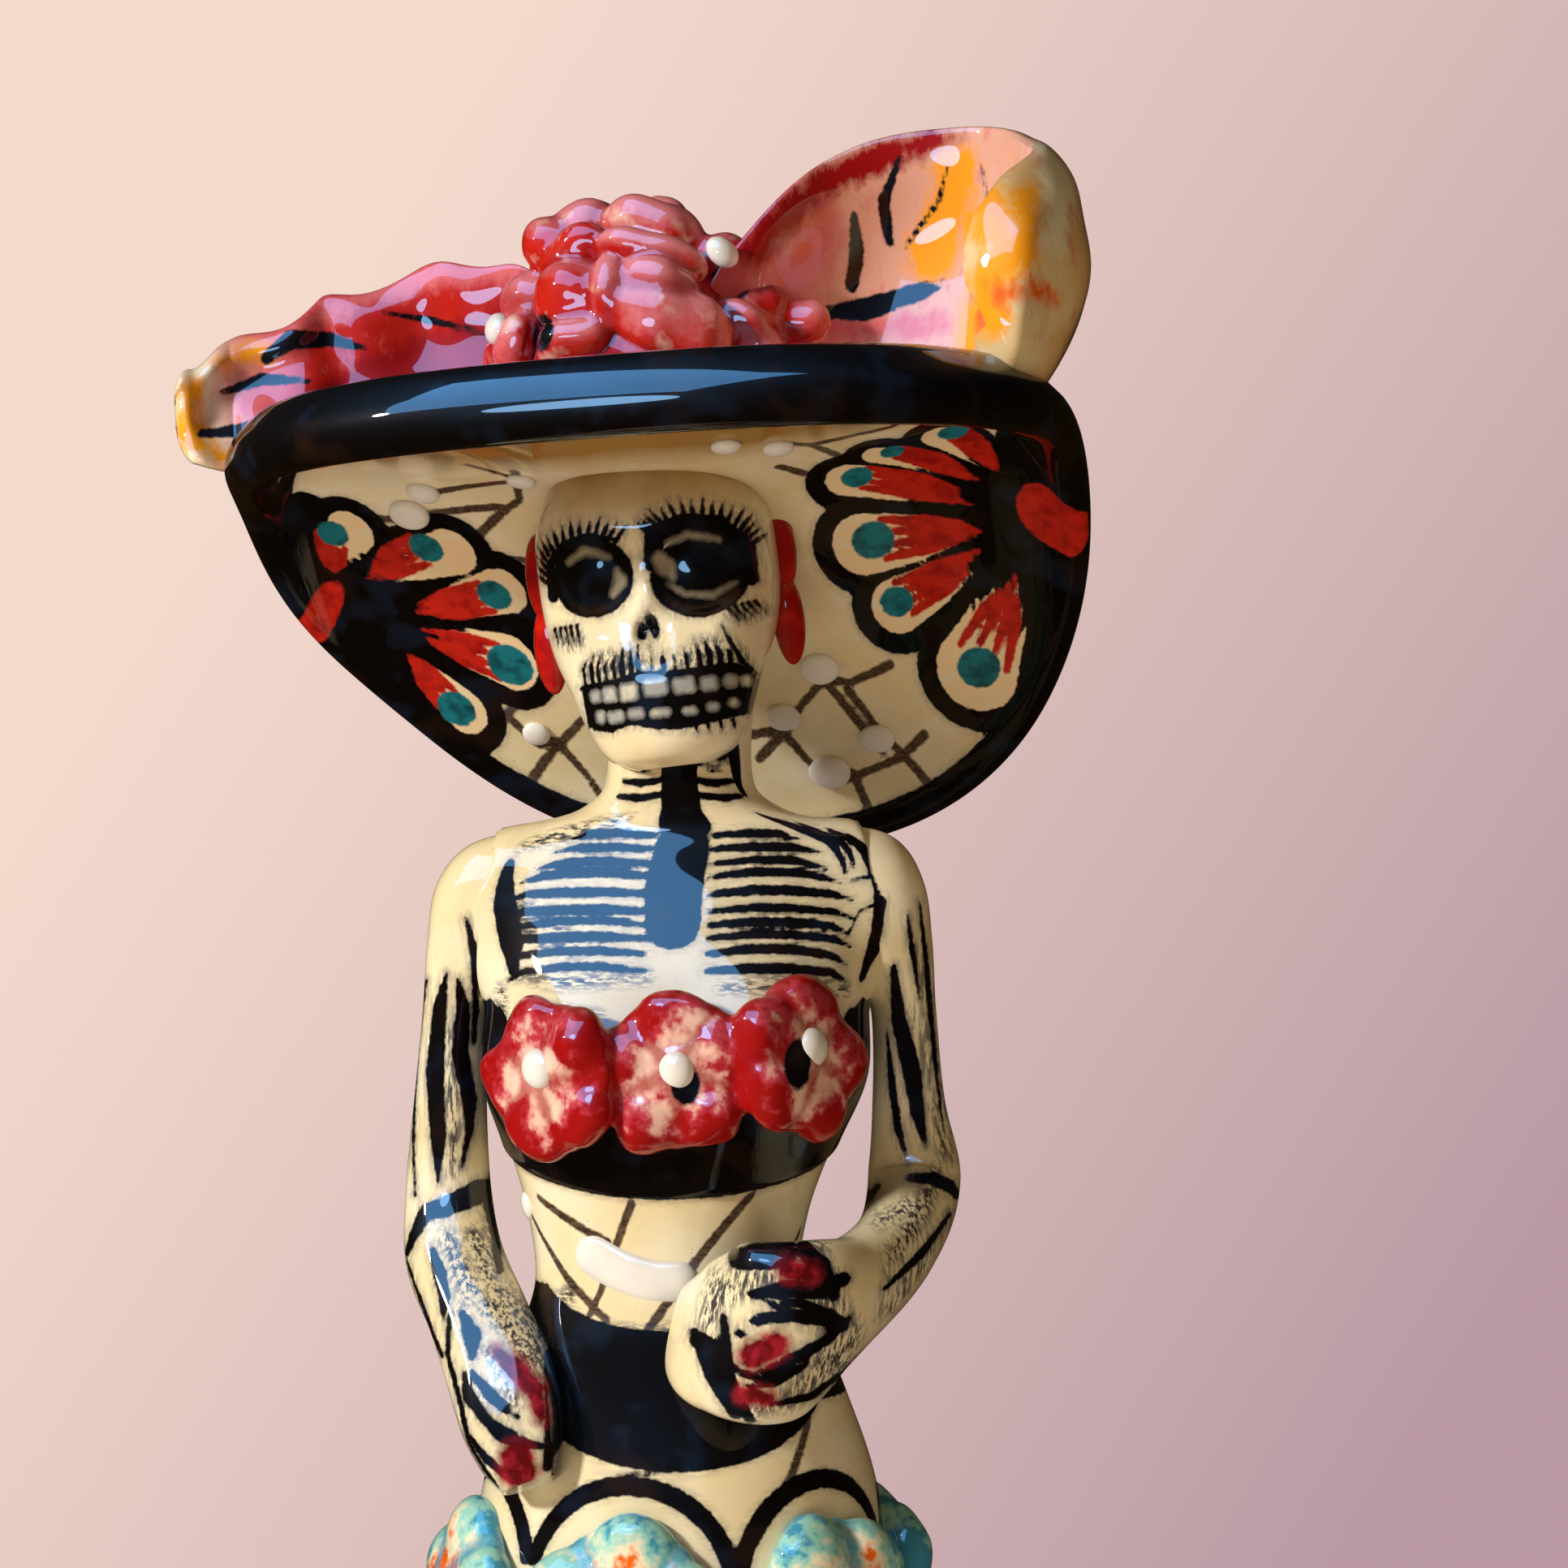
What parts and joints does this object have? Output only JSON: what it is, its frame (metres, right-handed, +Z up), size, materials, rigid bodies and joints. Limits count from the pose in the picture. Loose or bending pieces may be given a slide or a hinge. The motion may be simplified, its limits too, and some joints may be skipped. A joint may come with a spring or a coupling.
{
  "type": "day of the dead skeleton figure",
  "caption": "Standing glazed clay figure of a skeleton lady in a long flared skirt and a wide hat with plumes and flowers.",
  "frame": {"origin": "centre of the flat underside of the skirt", "axes": "+Z up through the figure, -Y the way she faces, +X to her left"},
  "size_m": [0.1135, 0.0962, 0.3181],
  "materials": {
    "glazed_clay": "clear gloss glaze over painted cream clay"
  },
  "bodies": {
    "root": {"skeleton_figure": "glazed_clay"}
  },
  "joints": []
}
